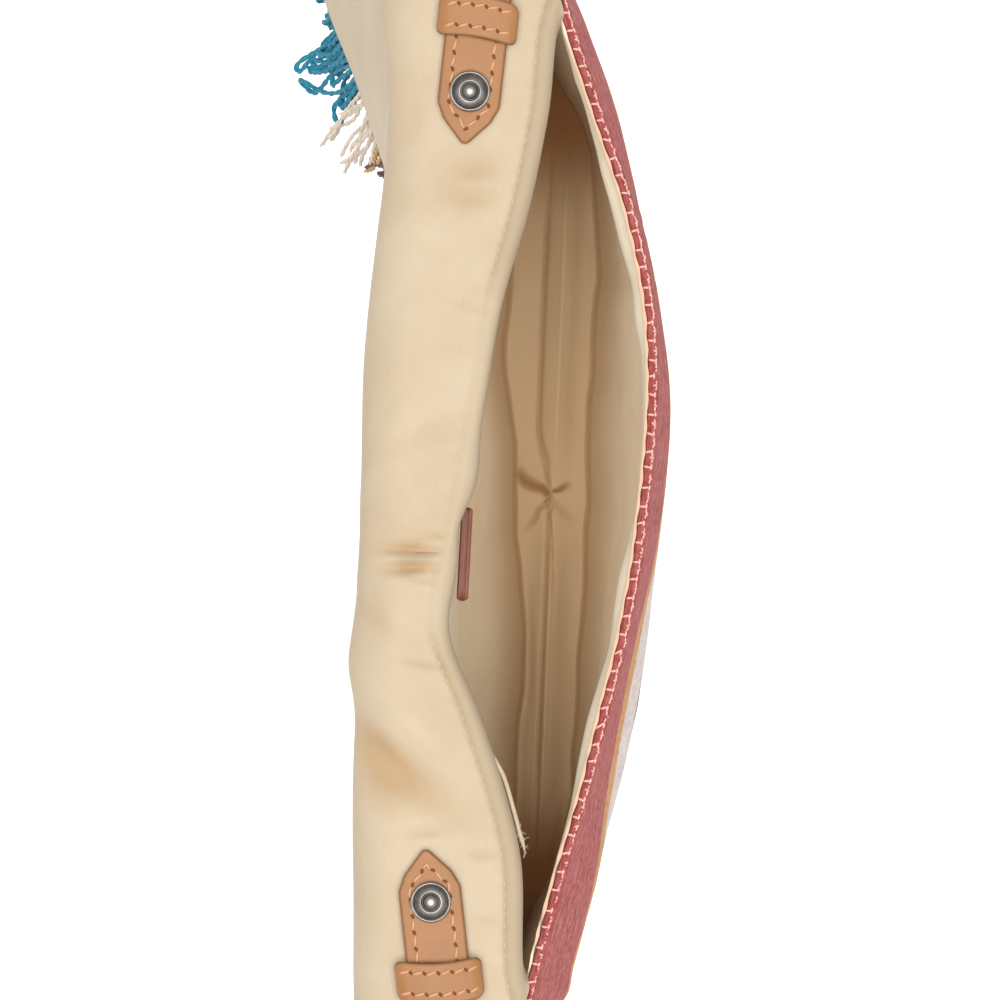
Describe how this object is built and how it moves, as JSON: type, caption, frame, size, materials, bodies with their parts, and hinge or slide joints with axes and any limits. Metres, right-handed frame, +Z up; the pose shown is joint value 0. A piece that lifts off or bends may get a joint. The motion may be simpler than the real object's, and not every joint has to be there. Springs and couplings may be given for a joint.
{
  "type": "crossbody bag",
  "caption": "Woven crossbody bag standing open, with a cotton lining, a flap thrown back, a yarn fringe and a leather strap closed with snaps.",
  "frame": {"origin": "middle of the base, on the surface the bag stands on", "axes": "+X along the bag's width, -Y towards its front, +Z up"},
  "size_m": [0.3952, 0.2457, 0.212],
  "materials": {
    "red_cloth": "slubby woven cotton",
    "woven_cloth": "woven cotton with coloured stripes",
    "lining": "plain cotton with a soft sheen",
    "leather": "smooth vegetable-tanned leather",
    "pull_leather": "folded leather",
    "antique_silver": "antique silver plate",
    "zip_brass": "antique brass",
    "zip_tape": "cotton tape",
    "teal_yarn": "twisted yarn",
    "cream_yarn": "twisted yarn",
    "gold_yarn": "twisted yarn",
    "brick_yarn": "twisted yarn",
    "maroon_yarn": "twisted yarn"
  },
  "bodies": {
    "root": {"front_panel": "red_cloth", "back_panel": "woven_cloth", "base_panel": "woven_cloth", "lining": "lining", "flap_lining": "lining", "flap_shell": "woven_cloth", "fringe_01_teal": "teal_yarn", "fringe_02_cream": "cream_yarn", "fringe_03_gold": "gold_yarn", "fringe_04_maroon": "maroon_yarn", "fringe_05_brick": "brick_yarn", "fringe_06_gold": "gold_yarn", "fringe_07_cream": "cream_yarn", "fringe_08_teal": "teal_yarn", "fringe_09_cream": "cream_yarn", "fringe_10_gold": "gold_yarn", "fringe_11_brick": "brick_yarn", "fringe_12_maroon": "maroon_yarn", "fringe_13_gold": "gold_yarn", "fringe_14_cream": "cream_yarn", "fringe_15_teal": "teal_yarn", "strap_end_right": "leather", "keeper_right": "leather", "snap_right": "antique_silver", "strap_end_left": "leather", "keeper_left": "leather", "snap_left": "antique_silver", "strap": "leather", "zip_tape": "zip_tape", "zip_slider": "zip_brass", "zip_pull": "pull_leather"}
  },
  "joints": []
}
